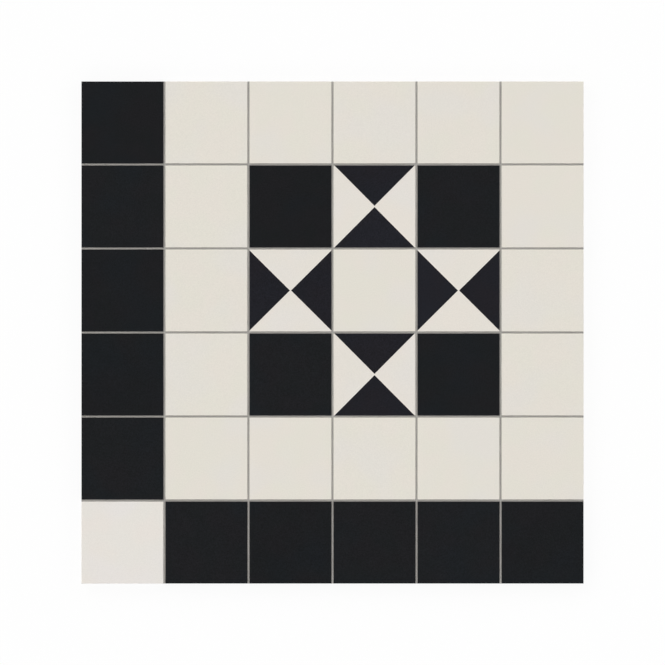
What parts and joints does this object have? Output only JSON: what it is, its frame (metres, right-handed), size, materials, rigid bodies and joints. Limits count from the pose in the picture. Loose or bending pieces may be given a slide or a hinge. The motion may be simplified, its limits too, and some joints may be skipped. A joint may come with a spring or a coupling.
{
  "type": "mosaic tile",
  "caption": "Square mosaic tile sheet of black and white porcelain squares in a framed star pattern, with grey grouted joints and a fibre net backing, for floors and walls.",
  "frame": {"origin": "middle of the sheet's underside, on the plane that lies on the floor or in the adhesive", "axes": "+Z out of the patterned face, +Y towards the top row of the pattern, +X to the right as seen from above"},
  "size_m": [0.3036, 0.3036, 0.0067],
  "materials": {
    "white_porcelain": "unglazed porcelain, warm off-white, satin",
    "corner_white_porcelain": "unglazed porcelain, a slightly lighter off-white, satin",
    "star_white_porcelain": "unglazed porcelain, off-white body of the star squares, satin",
    "black_porcelain": "unglazed porcelain, black coloured through, satin",
    "star_black_porcelain": "pressed inlay, black with a slight violet cast, satin",
    "grout": "unsanded cement grout, warm mid grey, matte",
    "glass_fibre_net": "coated glass fibre yarn, matte white"
  },
  "bodies": {
    "root": {"black_square_r1_c1": "black_porcelain", "white_square_r1_c2": "white_porcelain", "white_square_r1_c3": "white_porcelain", "white_square_r1_c4": "white_porcelain", "white_square_r1_c5": "white_porcelain", "white_square_r1_c6": "white_porcelain", "black_square_r2_c1": "black_porcelain", "white_square_r2_c2": "white_porcelain", "black_square_r2_c3": "black_porcelain", "star_square_r2_c4": "star_white_porcelain", "star_inlay_r2_c4_outer": "star_black_porcelain", "star_inlay_r2_c4_inner": "star_black_porcelain", "black_square_r2_c5": "black_porcelain", "white_square_r2_c6": "white_porcelain", "black_square_r3_c1": "black_porcelain", "white_square_r3_c2": "white_porcelain", "star_square_r3_c3": "star_white_porcelain", "star_inlay_r3_c3_outer": "star_black_porcelain", "star_inlay_r3_c3_inner": "star_black_porcelain", "white_square_r3_c4": "white_porcelain", "star_square_r3_c5": "star_white_porcelain", "star_inlay_r3_c5_outer": "star_black_porcelain", "star_inlay_r3_c5_inner": "star_black_porcelain", "white_square_r3_c6": "white_porcelain", "black_square_r4_c1": "black_porcelain", "white_square_r4_c2": "white_porcelain", "black_square_r4_c3": "black_porcelain", "star_square_r4_c4": "star_white_porcelain", "star_inlay_r4_c4_outer": "star_black_porcelain", "star_inlay_r4_c4_inner": "star_black_porcelain", "black_square_r4_c5": "black_porcelain", "white_square_r4_c6": "white_porcelain", "black_square_r5_c1": "black_porcelain", "white_square_r5_c2": "white_porcelain", "white_square_r5_c3": "white_porcelain", "white_square_r5_c4": "white_porcelain", "white_square_r5_c5": "white_porcelain", "white_square_r5_c6": "white_porcelain", "white_square_r6_c1": "corner_white_porcelain", "black_square_r6_c2": "black_porcelain", "black_square_r6_c3": "black_porcelain", "black_square_r6_c4": "black_porcelain", "black_square_r6_c5": "black_porcelain", "black_square_r6_c6": "black_porcelain", "grout": "grout", "backing_net": "glass_fibre_net"}
  },
  "joints": []
}
